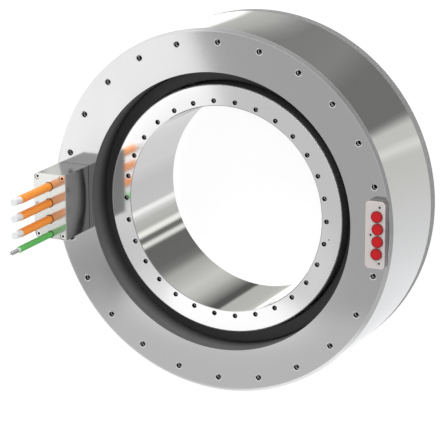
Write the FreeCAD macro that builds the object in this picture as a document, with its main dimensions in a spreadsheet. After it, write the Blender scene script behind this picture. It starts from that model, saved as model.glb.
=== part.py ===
"""Frameless torque motor: a flat ring-shaped stator for building in, and a hollow rotor inside it.

Millimetres. The origin is the centre of the stator's rear face, +Z runs along the shaft axis to the
front flange, which carries the coolant block at +X and the cable block at -X.
"""
import FreeCAD, Part
import Sketcher
import math
import os
import re

doc = FreeCAD.newDocument("motor")
sheet = doc.addObject("Spreadsheet::Sheet", "sizes")
workings = doc.addObject("Spreadsheet::Sheet", "workings")

SIZES = {
    # rotor
    "rotor_bore": 250,
    "rotor_wall": 25,
    "rotor_foot": 7,
    "rotor_overhang": 25.5,
    "rotor_recess": 18,
    "rotor_chamfer": 0.6,
    "bore_relief": 0.6,
    "bore_relief_length": 9,
    "bandage": 0.9,
    "bandage_inset": 0.8,
    "magnet_count": 44,
    "magnet_thickness": 6,
    "magnet_overhang": 5,
    "magnet_gap": 1.6,
    "rotor_bolt_edge": 6,
    "rotor_rear_bolt_edge": 7.5,
    "rotor_bolt_count": 30,
    "rotor_bolt_core": 5,
    "rotor_bolt_mouth": 6.4,
    "rotor_bolt_depth": 14,
    "mark_diameter": 1.6,
    "mark_depth": 3,
    "mark_edge": 10.8,
    "mark_angle": 9.07,
    # core and winding
    "core_length": 64,
    "air_gap": 0.7,
    "slot_count": 36,
    "slot_depth": 32,
    "yoke": 13.4,
    "tooth_width": 13,
    "coil_gap": 0.3,
    "coil_clearance": 0.4,
    "coil_inset": 3,
    "coil_floor_gap": 2,
    "coil_corner": 5,
    "cover_setback": 0.9,
    "cover_thickness": 3,
    "cover_edge": 1.4,
    "rear_potting_inset": 3,
    "bus_setback": 0.9,
    "bus_width": 6,
    "bus_height": 5,
    "bus_clearance": 3.3,
    "spacer_height": 1,
    "terminal_width": 9,
    "terminal_thickness": 3,
    "sensor_inset": 1,
    # cooling sleeve
    "seat_gap": 0.1,
    "sleeve_wall": 14.8,
    "channel_count": 5,
    "channel_width": 8,
    "channel_depth": 6,
    "channel_pitch": 13,
    "first_channel": 20,
    "seal_groove": 2.6,
    "seal_width": 3.6,
    "seal_inset": 6,
    # stator housing
    "jacket_wall": 8,
    "recess_width": 17.5,
    "flange_depth": 20,
    "flange_lip": 8,
    "front_chamfer": 3.5,
    # rear ring
    "rear_ring_length": 15.6,
    "rear_ring_seat": 11,
    "rear_chamfer": 1.8,
    "ring_screw_count": 12,
    "ring_screw_shank": 5,
    "ring_screw_head": 8.5,
    "ring_screw_length": 22,
    "ring_screw_head_height": 4.8,
    "ring_screw_hex": 4,
    "ring_screw_hex_depth": 2.5,
    "ring_head_depth": 5,
    # bolt holes of the stator
    "bolt_edge": 16,
    "bolt_count": 24,
    "bolt_core": 6.8,
    "bolt_mouth": 8.5,
    "bolt_depth": 14,
    "sink_angle": 120,
    # coolant block
    "coolant_edge_gap": 4.8,
    "coolant_width": 24,
    "coolant_length": 79.6,
    "coolant_height": 12,
    "coolant_corner": 5,
    "coolant_edge": 0.8,
    "port_inset": 5.2,
    "port_pitch": 14.7,
    "port_drilling": 5,
    "port_thread": 8.6,
    "port_thread_depth": 8,
    "plug_cap": 13.8,
    "plug_cap_height": 2.6,
    "plug_stem": 8.4,
    "plug_stem_length": 6,
    "plug_edge": 1.2,
    "coolant_screw_edge": 8.8,
    "coolant_screw_end": 6.8,
    "coolant_mid_screw": 6.9,
    "coolant_screw_shank": 3,
    "coolant_screw_head": 5.5,
    "coolant_screw_head_height": 3,
    "coolant_screw_hex": 2.5,
    "coolant_screw_hex_depth": 1.6,
    "coolant_screw_depth": 3.2,
    "coolant_screw_length": 17,
    "port_seal_section": 1.6,
    "port_seal_diameter": 9,
    # cable block
    "block_edge_gap": 4,
    "block_width": 43.5,
    "block_height": 57,
    "block_wall": 8.5,
    "block_top": 8,
    "block_corner": 7,
    "block_inner_corner": 1,
    "block_edge": 0.6,
    "gasket": 0.6,
    "gasket_inset": 0.6,
    "window_outer_wall": 12,
    "window_inner_wall": 9.5,
    "window_end_wall": 1.5,
    "window_corner": 5,
    "block_screw_inset_x": 5.2,
    "block_screw_inset_y": 4.6,
    "block_screw_shank": 4,
    "block_screw_head": 7,
    "block_screw_sink": 7.6,
    "block_screw_sink_depth": 5,
    "block_screw_grip": 7,
    "block_screw_hex": 3,
    "block_screw_hex_depth": 2.4,
    "fill_plug": 5,
    "fill_plug_depth": 4,
    "fill_plug_inset": 0.4,
    "fill_plug_y": 2,
    # cables
    "lead_row": 20.6,
    "lead_end": 16,
    "lead_pitch": 20,
    "signal_row": 21.7,
    "signal_end": 5.6,
    "signal_pitch": 18.4,
    "power_cable": 10,
    "power_cable_length": 67,
    "power_core": 8.4,
    "power_core_length": 14,
    "power_seal": 11.6,
    "signal_cable": 7.6,
    "signal_cable_length": 73,
    "signal_sheath": 5.2,
    "signal_sheath_length": 3,
    "signal_core": 1.9,
    "signal_core_length": 15,
    "signal_core_spread": 1.25,
    "signal_seal": 9,
    "seal_rise": 0.4,
}

for row, (alias, value) in enumerate(SIZES.items(), start=1):
    sheet.set(f"A{row}", alias)
    sheet.set(f"B{row}", str(value))
    sheet.setAlias(f"B{row}", alias)
doc.recompute()

parts = []
SAME_HEIGHT = 0.01


def size(alias):
    """Plain value of one driving dimension"""
    return float(sheet.get(alias))


def bound(formula):
    """The formula with each alias written as a reference to the sheet"""
    def reference(word):
        return f"sizes.{word[0]}" if word[0] in SIZES else word[0]
    return re.sub(r"[a-z]+(?:_[a-z]+)*", reference, formula)


def worth(formula):
    """Value of a formula of sheet aliases, worked out in a cell of the second sheet"""
    workings.set("A1", "=" + bound(formula))
    workings.recompute()
    return float(workings.get("A1"))


def tie(thing, prop, formula):
    """Bind one property of a document object to the sheet"""
    thing.setExpression(prop, bound(formula))


def new_body(label):
    """Empty PartDesign body, listed for export under its label"""
    body = doc.addObject("PartDesign::Body", label)
    body.Label = label
    body.AllowCompound = True
    parts.append(body)
    return body


def plane_sketch(body, role, height="0"):
    """Sketch on one of the body's own origin planes, moved along its normal by a formula"""
    sketch = body.newObject("Sketcher::SketchObject", "Sketch")
    plane = next(item for item in body.Origin.OriginFeatures if item.Role == role)
    sketch.AttachmentSupport = [(plane, "")]
    sketch.MapMode = "FlatFace"
    if height != "0":
        tie(sketch, "AttachmentOffset.Base.z", height)
    return sketch


def hold(sketch, kind, first, second, formula):
    """Distance constraint between two sketch points, bound to the sheet"""
    index = sketch.addConstraint(Sketcher.Constraint(kind, *first, *second, worth(formula)))
    tie(sketch, f"Constraints[{index}]", formula)


def outline(sketch, points):
    """Closed outline of straight lines through points given as pairs of formulas"""
    spots = [FreeCAD.Vector(worth(across), worth(up), 0) for across, up in points]
    first = sketch.GeometryCount
    count = len(spots)
    for index in range(count):
        sketch.addGeometry(Part.LineSegment(spots[index], spots[(index + 1) % count]), False)
    for index, (across, up) in enumerate(points):
        line = first + index
        sketch.addConstraint(Sketcher.Constraint("Coincident", line, 2, first + (index + 1) % count, 1))
        hold(sketch, "DistanceX", (-1, 1), (line, 1), across)
        hold(sketch, "DistanceY", (-1, 1), (line, 1), up)


def circle(sketch, across, up, diameter):
    """Circle at a place given as two formulas"""
    spot = FreeCAD.Vector(worth(across), worth(up), 0)
    line = sketch.addGeometry(Part.Circle(spot, FreeCAD.Vector(0, 0, 1), worth(diameter) / 2), False)
    index = sketch.addConstraint(Sketcher.Constraint("Diameter", line, worth(diameter)))
    tie(sketch, f"Constraints[{index}]", diameter)
    hold(sketch, "DistanceX", (-1, 1), (line, 3), across)
    hold(sketch, "DistanceY", (-1, 1), (line, 3), up)


def circles(body, places, diameter, height):
    """Sketch of equal circles at a height"""
    sketch = plane_sketch(body, "XY_Plane", height)
    for across, up in places:
        circle(sketch, across, up, diameter)
    return sketch


def hexagons(body, places, width, height):
    """Sketch of hexagons, given by their width across flats"""
    sketch = plane_sketch(body, "XY_Plane", height)
    for across, up in places:
        corners = []
        for turn in range(0, 360, 60):
            reach = f"{width} / sqrt(3)"
            corners.append((f"{across} + {reach} * cos({turn})", f"{up} + {reach} * sin({turn})"))
        outline(sketch, corners)
    return sketch


def rectangle(sketch, low_x, high_x, low_y, high_y):
    """Rectangle between formulas"""
    outline(sketch, [(low_x, low_y), (high_x, low_y), (high_x, high_y), (low_x, high_y)])


def rounded_rectangle(sketch, low_x, high_x, low_y, high_y, radius, low_x_radius=None):
    """Rectangle between formulas with an arc at each corner; those at low_x may have their own radius"""
    other = low_x_radius or radius
    sides = [((f"{low_x} + {other}", low_y), (f"{high_x} - {radius}", low_y)),
             ((high_x, f"{low_y} + {radius}"), (high_x, f"{high_y} - {radius}")),
             ((f"{high_x} - {radius}", high_y), (f"{low_x} + {other}", high_y)),
             ((low_x, f"{high_y} - {other}"), (low_x, f"{low_y} + {other}"))]
    first = sketch.GeometryCount
    for ends in sides:
        spots = [FreeCAD.Vector(worth(across), worth(up), 0) for across, up in ends]
        line = sketch.addGeometry(Part.LineSegment(*spots), False)
        for end, (across, up) in enumerate(ends, start=1):
            hold(sketch, "DistanceX", (-1, 1), (line, end), across)
            hold(sketch, "DistanceY", (-1, 1), (line, end), up)
    for corner, reach in enumerate((radius, radius, other, other)):
        before, after = sides[corner][1], sides[(corner + 1) % 4][0]
        across, up = (before[0], after[1]) if corner % 2 == 0 else (after[0], before[1])
        spot = FreeCAD.Vector(worth(across), worth(up), 0)
        whole = Part.Circle(spot, FreeCAD.Vector(0, 0, 1), worth(reach))
        start = math.radians(90 * corner - 90)
        arc = sketch.addGeometry(Part.ArcOfCircle(whole, start, start + math.pi / 2), False)
        sketch.addConstraint(Sketcher.Constraint("Coincident", arc, 1, first + corner, 2))
        sketch.addConstraint(Sketcher.Constraint("Coincident", arc, 2, first + (corner + 1) % 4, 1))
        hold(sketch, "DistanceX", (-1, 1), (arc, 3), across)


def revolve(body, sketch, axis):
    """Sketch turned a full circle about one of its own axes"""
    turned = body.newObject("PartDesign::Revolution", "Turned")
    turned.Profile = sketch
    turned.ReferenceAxis = (sketch, [axis])
    turned.Angle = 360
    doc.recompute()
    return turned


def spin(body, points):
    """Turned solid: an outline of (radius, height) pairs turned about the motor's axis"""
    sketch = plane_sketch(body, "XZ_Plane")
    outline(sketch, points)
    return revolve(body, sketch, "V_Axis")


def pad(body, sketch, length):
    """Sketch raised along its normal"""
    raised = body.newObject("PartDesign::Pad", "Pad")
    raised.Profile = sketch
    tie(raised, "Length", length)
    doc.recompute()
    return raised


def pocket(body, sketch, depth, upward=False, taper=None):
    """Sketch cut downwards, or upwards where upward is set, with straight walls or ones that close in"""
    cut = body.newObject("PartDesign::Pocket", "Pocket")
    cut.Profile = sketch
    tie(cut, "Length", depth)
    cut.Reversed = upward
    if taper:
        tie(cut, "TaperAngle", f"-{taper}")
    doc.recompute()
    if cut.Shape.Volume >= cut.BaseFeature.Shape.Volume:
        raise ValueError(f"{body.Label}: a pocket cuts nothing")
    return cut


def around(body, features, count, angle="360"):
    """Features repeated about the motor's axis"""
    pattern = body.newObject("PartDesign::PolarPattern", "Around")
    pattern.Originals = features
    axis = next(item for item in body.Origin.OriginFeatures if item.Role == "Z_Axis")
    pattern.Axis = (axis, [""])
    tie(pattern, "Angle", angle)
    tie(pattern, "Occurrences", count)
    body.Tip = pattern
    doc.recompute()
    return pattern


def drill(body, places, top, core, mouth, depth, upward=False):
    """Blind holes with a countersunk mouth, cut from a face at the height top"""
    sink_depth = f"({mouth} - {core}) / 2 / tan(sink_angle / 2)"
    hole = pocket(body, circles(body, places, core, top), depth, upward)
    sink = pocket(body, circles(body, places, mouth, top), sink_depth, upward, "sink_angle / 2")
    return [hole, sink]


def edges_where(shape, test):
    """Names of the edges whose points all pass a test"""
    names = []
    for index, edge in enumerate(shape.Edges, start=1):
        start, end = edge.FirstParameter, edge.LastParameter
        if all(test(edge.valueAt(start + share * (end - start))) for share in (0, 0.5, 1)):
            names.append(f"Edge{index}")
    return names


def soften(body, base, test, radius, kind="Fillet"):
    """Fillet or chamfer on the edges that pass a test"""
    rounded = body.newObject(f"PartDesign::{kind}", kind)
    rounded.Base = (base, edges_where(base.Shape, test))
    tie(rounded, "Radius" if kind == "Fillet" else "Size", radius)
    doc.recompute()
    return rounded


def polar(radius, angle):
    """Place given by formulas for its distance from the axis and its angle from +X"""
    return f"({radius}) * cos({angle})", f"({radius}) * sin({angle})"


def on_circle(radius, up):
    """Place on a circle about the axis, on its +X side, given by its distance from the X axis"""
    return f"sqrt(pow({radius}; 2) - pow({up}; 2))", up


# Radii, from the rotor outwards
ROTOR_RIM = "(rotor_bore / 2 + rotor_wall)"
MAGNET_SEAT = f"({ROTOR_RIM} - magnet_thickness)"
BANDAGE_OUT = f"({ROTOR_RIM} + bandage)"
CORE_BORE = f"({BANDAGE_OUT} + air_gap)"
SLOT_FLOOR = f"({CORE_BORE} + slot_depth)"
CORE_OUT = f"({SLOT_FLOOR} + yoke)"
SLEEVE_IN = f"({CORE_OUT} + seat_gap)"
SLEEVE_OUT = f"({SLEEVE_IN} + sleeve_wall)"
JACKET_BORE = f"({SLEEVE_OUT} + seat_gap)"
OUTSIDE = f"({JACKET_BORE} + jacket_wall)"
WALL_IN = f"({BANDAGE_OUT} + recess_width)"
COVER_IN = f"({CORE_BORE} + cover_setback)"
BUS_IN = f"({SLOT_FLOOR} - bus_setback)"
BUS_OUT = f"({BUS_IN} + bus_width)"
WINDING_OUT = f"({BUS_OUT} + bus_clearance)"
RING_IN = f"({CORE_OUT} - rear_ring_seat)"
BOLT_RADIUS = f"({OUTSIDE} - bolt_edge)"

# Heights, from the rear face to the front
CORE_FOOT = "(rotor_foot + rotor_overhang)"
MIDDLE = f"({CORE_FOOT} + core_length / 2)"
CORE_TOP = f"({CORE_FOOT} + core_length)"
ROTOR_TOP = f"({CORE_TOP} + rotor_overhang)"
FACE = f"({ROTOR_TOP} + rotor_recess)"
FLANGE_BACK = f"({FACE} - flange_depth)"
LIP_BACK = f"({FACE} - flange_lip)"
BUS_STEP = "(spacer_height + bus_height)"

# A coil fills its half of the slot at the slot's narrow end
HALF_SLOT = "180 / slot_count"
COIL_IN = f"({CORE_BORE} + coil_inset)"
COIL_DEPTH = "(slot_depth - coil_inset - coil_floor_gap)"
COIL_SIDE = (f"({COIL_IN} * tan({HALF_SLOT}) - tooth_width / 2 / cos({HALF_SLOT})"
             " - coil_gap - coil_clearance)")
COIL_HALF = f"(tooth_width / 2 + coil_gap + {COIL_SIDE})"
COIL_REACH = f"(sqrt(pow({COIL_IN} + {COIL_DEPTH}; 2) + pow({COIL_HALF}; 2)) + seat_gap)"
COIL_TOP = f"({CORE_TOP} + coil_gap + {COIL_SIDE})"
COIL_FOOT = f"({CORE_FOOT} - coil_gap - {COIL_SIDE})"
COVER_LOW = f"({COIL_TOP} + coil_gap)"
COVER_HIGH = f"({COIL_FOOT} - coil_gap)"

# The stack of three phase rings and the star ring, with a spacer at each end and between each two
RING_NAMES = ("phase_ring_u", "phase_ring_v", "phase_ring_w", "star_ring")
BUS_TOP = f"({CORE_TOP} + {len(RING_NAMES)} * {BUS_STEP} + spacer_height)"
TERMINAL_TOP = f"({BUS_TOP} + terminal_thickness)"

# Cable block, from the housing's edge inwards
BLOCK_TOP = f"({FACE} + block_height)"
BLOCK_OUT = f"({OUTSIDE} - block_edge_gap)"
BLOCK_IN = f"({BLOCK_OUT} - block_width)"
BLOCK_END = "((lead_end + 2 * lead_pitch + signal_pitch + signal_end) / 2)"
SEAL_TOP = f"({BLOCK_TOP} + seal_rise)"
LEAD_ROW = f"({BLOCK_OUT} - lead_row)"
SIGNAL_ROW = f"({BLOCK_OUT} - signal_row)"
SIGNAL_PLACE = f"(signal_end - {BLOCK_END})"
WINDOW = (f"-({BLOCK_OUT} - window_outer_wall)", f"-({BLOCK_IN} + window_inner_wall)",
          f"-({BLOCK_END} - window_end_wall)", f"{BLOCK_END} - window_end_wall", "window_corner")

# Coolant block
COOLANT_TOP = f"({FACE} + coolant_height)"
COOLANT_OUT = f"({OUTSIDE} - coolant_edge_gap)"
COOLANT_IN = f"({COOLANT_OUT} - coolant_width)"

port_places = [on_circle(f"({SLEEVE_OUT} - port_inset)", f"{step} * port_pitch")
               for step in (-1.5, -0.5, 0.5, 1.5)]
coolant_screws = [on_circle(f"({OUTSIDE} - coolant_screw_edge)",
                            f"{side} * (coolant_length / 2 - coolant_screw_end)")
                  for side in (1, -1)]
coolant_screws.append((f"{COOLANT_IN} + coolant_mid_screw", "0"))
block_screws = [(f"-({edge})", f"{side} * ({BLOCK_END} - block_screw_inset_y)")
                for edge in (f"{BLOCK_OUT} - block_screw_inset_x", f"{BLOCK_IN} + block_screw_inset_x")
                for side in (1, -1)]
power_places = [(f"-{LEAD_ROW}", f"({BLOCK_END} - lead_end - {index} * lead_pitch)") for index in range(3)]
signal_place = [(f"-{SIGNAL_ROW}", SIGNAL_PLACE)]
fill_place = [(f"-({BLOCK_OUT} - block_screw_inset_x)", "fill_plug_y")]
ring_screw_start = [polar(BOLT_RADIUS, "180 / ring_screw_count / 2")]


def stator_housing():
    """Turned jacket with the front flange in one piece"""
    body = new_body("stator_housing")
    spin(body, [
        (JACKET_BORE, "rear_ring_length"),
        (OUTSIDE, "rear_ring_length"),
        (OUTSIDE, f"{FACE} - front_chamfer"),
        (f"{OUTSIDE} - front_chamfer", FACE),
        (WALL_IN, FACE),
        (WALL_IN, LIP_BACK),
        (WINDING_OUT, LIP_BACK),
        (WINDING_OUT, FLANGE_BACK),
        (JACKET_BORE, FLANGE_BACK),
    ])
    window = plane_sketch(body, "XY_Plane", FACE)
    rounded_rectangle(window, *WINDOW)
    pocket(body, window, "flange_depth")
    pocket(body, circles(body, port_places, "port_drilling", FACE), "flange_depth")
    pocket(body, circles(body, coolant_screws, "coolant_screw_shank + 2 * seat_gap", FACE),
           "coolant_screw_length - coolant_height + coolant_screw_depth + seat_gap")
    pocket(body, circles(body, block_screws, "block_screw_shank + 2 * seat_gap", FACE),
           "block_screw_grip + seat_gap")
    # the blocks take the two bolt places at +X and -X, so the rest are two arcs
    starts = [polar(BOLT_RADIUS, "360 / bolt_count"), polar(BOLT_RADIUS, "180 + 360 / bolt_count")]
    around(body, drill(body, starts, FACE, "bolt_core", "bolt_mouth", "bolt_depth"),
           "bolt_count / 2 - 1", "360 / bolt_count * (bolt_count / 2 - 2)")


def rear_ring():
    """Ring that closes the jacket, with the rear bolt holes and the heads of its own screws"""
    body = new_body("rear_ring")
    spin(body, [
        (RING_IN, "0"),
        (f"{OUTSIDE} - rear_chamfer", "0"),
        (OUTSIDE, "rear_chamfer"),
        (OUTSIDE, "rear_ring_length"),
        (RING_IN, "rear_ring_length"),
    ])
    start = [polar(BOLT_RADIUS, "0")]
    bolts = drill(body, start, "0", "bolt_core", "bolt_mouth", "bolt_depth", upward=True)
    around(body, bolts, "bolt_count")
    shank = pocket(body, circles(body, ring_screw_start, "ring_screw_shank + 2 * seat_gap", "0"),
                   "rear_ring_length", upward=True)
    head = pocket(body, circles(body, ring_screw_start, "ring_screw_head + 2 * seat_gap", "0"),
                  "ring_head_depth + seat_gap", upward=True)
    around(body, [shank, head], "ring_screw_count")


def screws(label, places, underside, length, shank, head, head_height, hexagon, hexagon_depth):
    """Socket head screws in one node, head up"""
    body = new_body(label)
    pad(body, circles(body, places, shank, f"{underside} - ({length})"), length)
    pad(body, circles(body, places, head, underside), head_height)
    pocket(body, hexagons(body, places, hexagon, f"{underside} + {head_height}"), hexagon_depth)


def rear_ring_screws():
    """Screws that hold the rear ring on the cooling sleeve"""
    body = new_body("rear_ring_screws")
    face = "(ring_head_depth - ring_screw_head_height)"
    shank = pad(body, circles(body, ring_screw_start, "ring_screw_shank", "ring_head_depth"),
                "ring_screw_length")
    head = pad(body, circles(body, ring_screw_start, "ring_screw_head", face), "ring_screw_head_height")
    socket = pocket(body, hexagons(body, ring_screw_start, "ring_screw_hex", face),
                    "ring_screw_hex_depth", upward=True)
    around(body, [shank, head, socket], "ring_screw_count")


def cooling_sleeve():
    """Sleeve with the coolant channels, which sits between the jacket and the core"""
    body = new_body("cooling_sleeve")
    points = [(SLEEVE_IN, "rear_ring_length"), (SLEEVE_OUT, "rear_ring_length")]
    grooves = [("rear_ring_length + seal_inset", "seal_width", "seal_groove")]
    for index in range(int(size("channel_count"))):
        low = f"rear_ring_length + first_channel + {index} * channel_pitch"
        grooves.append((low, "channel_width", "channel_depth"))
    grooves.append((f"{FLANGE_BACK} - seal_inset - seal_width", "seal_width", "seal_groove"))
    for low, width, depth in grooves:
        points += [(SLEEVE_OUT, low), (f"{SLEEVE_OUT} - {depth}", low),
                   (f"{SLEEVE_OUT} - {depth}", f"{low} + {width}"), (SLEEVE_OUT, f"{low} + {width}")]
    spin(body, points + [(SLEEVE_OUT, FLANGE_BACK), (SLEEVE_IN, FLANGE_BACK)])
    last = "(rear_ring_length + first_channel + (channel_count - 1) * channel_pitch)"
    pocket(body, circles(body, port_places, "port_drilling", FLANGE_BACK),
           f"{FLANGE_BACK} - {last} - channel_width / 2")
    mouths = circles(body, ring_screw_start, "ring_screw_shank + 2 * seat_gap", "rear_ring_length")
    tapped = pocket(body, mouths, "ring_screw_length - rear_ring_length + ring_head_depth + seat_gap",
                    upward=True)
    around(body, [tapped], "ring_screw_count")


def sleeve_seal(label, height):
    """O-ring between the sleeve's groove and the jacket, with the section it has when it is squeezed in"""
    floor = f"({SLEEVE_OUT} - seal_groove)"
    ring = doc.addObject("Part::Torus", label)
    ring.Label = label
    tie(ring, "Radius1", f"({floor} + {JACKET_BORE}) / 2")
    tie(ring, "Radius2", f"({JACKET_BORE} - {floor}) / 2")
    tie(ring, "Placement.Base.z", height)
    parts.append(ring)


def stator_core():
    """Core of laminations: a yoke with open slots between parallel teeth"""
    body = new_body("stator_core")
    spin(body, [(CORE_BORE, CORE_FOOT), (CORE_OUT, CORE_FOOT), (CORE_OUT, CORE_TOP), (CORE_BORE, CORE_TOP)])
    slot = plane_sketch(body, "XY_Plane", CORE_TOP)
    lean = f"tan({HALF_SLOT})"
    corner = f"tooth_width / 2 / cos({HALF_SLOT})"
    mouth = f"({CORE_BORE} - coil_inset)"
    outline(slot, [
        (mouth, f"-({mouth} * {lean} - {corner})"),
        (SLOT_FLOOR, f"-({SLOT_FLOOR} * {lean} - {corner})"),
        (SLOT_FLOOR, f"{SLOT_FLOOR} * {lean} - {corner}"),
        (mouth, f"{mouth} * {lean} - {corner}"),
    ])
    around(body, [pocket(body, slot, "core_length")], "slot_count")
    turn = FreeCAD.Rotation(FreeCAD.Vector(0, 0, 1), worth(HALF_SLOT))
    body.Placement = FreeCAD.Placement(FreeCAD.Vector(), turn)
    tie(body, "Placement.Rotation.Angle", HALF_SLOT)


def tooth_coils():
    """One flat coil round each tooth"""
    body = new_body("tooth_coils")
    side = plane_sketch(body, "YZ_Plane", COIL_IN)
    inner = "(tooth_width / 2 + coil_gap)"
    rounded_rectangle(side, f"-{COIL_HALF}", COIL_HALF, COIL_FOOT, COIL_TOP, "coil_corner")
    rectangle(side, f"-{inner}", inner, f"{CORE_FOOT} - coil_gap", f"{CORE_TOP} + coil_gap")
    around(body, [pad(body, side, COIL_DEPTH)], "slot_count")


def turned_ring(label, points):
    """Piece that is one turned ring"""
    body = new_body(label)
    return body, spin(body, points)


def winding_covers():
    """Rings over the coil heads, with rounded edges towards the open side"""
    outer = f"({WALL_IN} - seat_gap)"
    front = ("front_winding_cover", COVER_LOW, f"{COVER_LOW} + cover_thickness", 1)
    rear = ("rear_winding_cover", f"{COVER_HIGH} - cover_thickness", COVER_HIGH, 0)
    for label, low, high, open_side in (front, rear):
        body, ring = turned_ring(label, [(COVER_IN, low), (outer, low), (outer, high), (COVER_IN, high)])
        edge = worth((low, high)[open_side])
        soften(body, ring, lambda spot: abs(spot.z - edge) < SAME_HEIGHT, "cover_edge")


def potting():
    """Cast resin in front of and behind the core"""
    front_out = f"({BUS_IN} - seat_gap)"
    turned_ring("front_potting", [
        (WALL_IN, COVER_LOW), (front_out, COVER_LOW), (front_out, LIP_BACK), (WALL_IN, LIP_BACK)])
    ring_in = f"({RING_IN} - seat_gap)"
    turned_ring("rear_potting", [
        (WALL_IN, "rear_potting_inset"), (ring_in, "rear_potting_inset"), (ring_in, "rear_ring_length"),
        (CORE_OUT, "rear_ring_length"), (CORE_OUT, CORE_FOOT), (COIL_REACH, CORE_FOOT),
        (COIL_REACH, COVER_HIGH), (WALL_IN, COVER_HIGH)])


def connection_rings():
    """Stack of copper rings on the core's yoke that join the coils, with insulating spacers"""
    for index, label in enumerate(RING_NAMES):
        low = f"{CORE_TOP} + {index} * {BUS_STEP} + spacer_height"
        high = f"{low} + bus_height"
        turned_ring(label, [(BUS_IN, low), (BUS_OUT, low), (BUS_OUT, high), (BUS_IN, high)])
    body = new_body("ring_spacers")
    sketch = plane_sketch(body, "XZ_Plane")
    for index in range(len(RING_NAMES) + 1):
        low = f"{CORE_TOP} + {index} * {BUS_STEP}"
        rectangle(sketch, BUS_IN, BUS_OUT, low, f"{low} + spacer_height")
    revolve(body, sketch, "V_Axis")


def phase_terminals():
    """Straps that rise from the three phase rings to the ends of the leads"""
    body = new_body("phase_terminals")
    half = "terminal_width / 2"
    for index, (_, place) in enumerate(power_places):
        low = f"({CORE_TOP} + {index} * {BUS_STEP} + spacer_height)"
        near = f"((abs({place}) - {half} + abs(abs({place}) - {half})) / 2)"
        inner = f"(sqrt(pow({BUS_OUT}; 2) - pow({near}; 2)) + seat_gap)"
        outer = f"({inner} + terminal_thickness)"
        sides = (f"{place} - {half}", f"{place} + {half}")
        strap = plane_sketch(body, "XY_Plane", low)
        rectangle(strap, f"-{outer}", f"-{inner}", *sides)
        pad(body, strap, f"{TERMINAL_TOP} - {low}")
        tongue = plane_sketch(body, "XY_Plane", BUS_TOP)
        rectangle(tongue, f"-({LEAD_ROW} + {half})", f"-{outer}", *sides)
        pad(body, tongue, "terminal_thickness")


def temperature_sensor():
    """Sensor block on the ring stack, with the sensor lead's end on it"""
    body = new_body("temperature_sensor")
    sketch = plane_sketch(body, "XY_Plane", BUS_TOP)
    half = "(signal_cable / 2 - sensor_inset)"
    rectangle(sketch, f"-({SIGNAL_ROW} + terminal_width / 2)", f"-{BUS_IN}",
              f"{SIGNAL_PLACE} - {half}", f"{SIGNAL_PLACE} + {half}")
    pad(body, sketch, "terminal_thickness")


def rods(label, places, diameter, low, length):
    """Upright round rods in one node"""
    body = new_body(label)
    return body, pad(body, circles(body, places, diameter, low), length)


def cable_block():
    """Hollow block with a hole in its end for each cable"""
    body = new_body("cable_block")
    outside = plane_sketch(body, "XY_Plane", f"{FACE} + gasket")
    rounded_rectangle(outside, f"-{BLOCK_OUT}", f"-{BLOCK_IN}", f"-{BLOCK_END}", BLOCK_END,
                      "block_inner_corner", "block_corner")
    solid = pad(body, outside, "block_height - gasket")
    top = worth(BLOCK_TOP)
    soften(body, solid, lambda spot: abs(spot.z - top) < SAME_HEIGHT, "block_edge", "Chamfer")
    hollow = plane_sketch(body, "XY_Plane", f"{FACE} + gasket")
    rectangle(hollow, f"-({BLOCK_OUT} - block_wall)", f"-({BLOCK_IN} + block_wall)",
              f"-({BLOCK_END} - block_wall)", f"{BLOCK_END} - block_wall")
    pocket(body, hollow, "block_height - gasket - block_top", upward=True)
    pocket(body, circles(body, power_places, "power_seal", BLOCK_TOP), "block_top")
    pocket(body, circles(body, signal_place, "signal_seal", BLOCK_TOP), "block_height - gasket")
    pocket(body, circles(body, block_screws, "block_screw_shank + 2 * seat_gap", BLOCK_TOP),
           "block_height - gasket")
    pocket(body, circles(body, block_screws, "block_screw_sink", BLOCK_TOP), "block_screw_sink_depth")
    pocket(body, circles(body, fill_place, "fill_plug + 2 * seat_gap", BLOCK_TOP), "fill_plug_depth")


def cable_block_gasket():
    """Thin gasket between the cable block and the flange"""
    body = new_body("cable_block_gasket")
    edge = plane_sketch(body, "XY_Plane", FACE)
    rounded_rectangle(edge, f"-({BLOCK_OUT} - gasket_inset)", f"-({BLOCK_IN} + gasket_inset)",
                      f"-({BLOCK_END} - gasket_inset)", f"{BLOCK_END} - gasket_inset",
                      "block_inner_corner", "(block_corner - gasket_inset)")
    pad(body, edge, "gasket")
    opening = plane_sketch(body, "XY_Plane", FACE)
    rounded_rectangle(opening, *WINDOW)
    pocket(body, opening, "gasket", upward=True)
    pocket(body, circles(body, block_screws, "block_screw_shank + 2 * seat_gap", FACE), "gasket",
           upward=True)


def cable_seal(label, places, outer, inner):
    """Rubber seals that fill the block's holes round the cables"""
    height = "block_top + seal_rise"
    body, _ = rods(label, places, f"{outer} - 2 * seat_gap", f"{BLOCK_TOP} - block_top", height)
    pocket(body, circles(body, places, inner, SEAL_TOP), height)


def cables():
    """Leads as they leave the block, and their bared ends"""
    for letter, place in zip("uvw", power_places):
        rods(f"power_cable_{letter}", [place], "power_cable", SEAL_TOP, "power_cable_length")
        rods(f"power_core_{letter}", [place], "power_core", f"{SEAL_TOP} + power_cable_length",
             "power_core_length")
    sheath_foot = f"{SEAL_TOP} + signal_cable_length"
    rods("signal_cable", signal_place, "signal_cable", SEAL_TOP, "signal_cable_length")
    rods("signal_sheath", signal_place, "signal_sheath", sheath_foot, "signal_sheath_length")
    spread = [(f"{across} * signal_core_spread - {SIGNAL_ROW}",
               f"{along} * signal_core_spread + {SIGNAL_PLACE}")
              for across in (-1, 1) for along in (-1, 1)]
    rods("signal_cores", spread, "signal_core", f"{sheath_foot} + signal_sheath_length",
         "signal_core_length")


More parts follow.
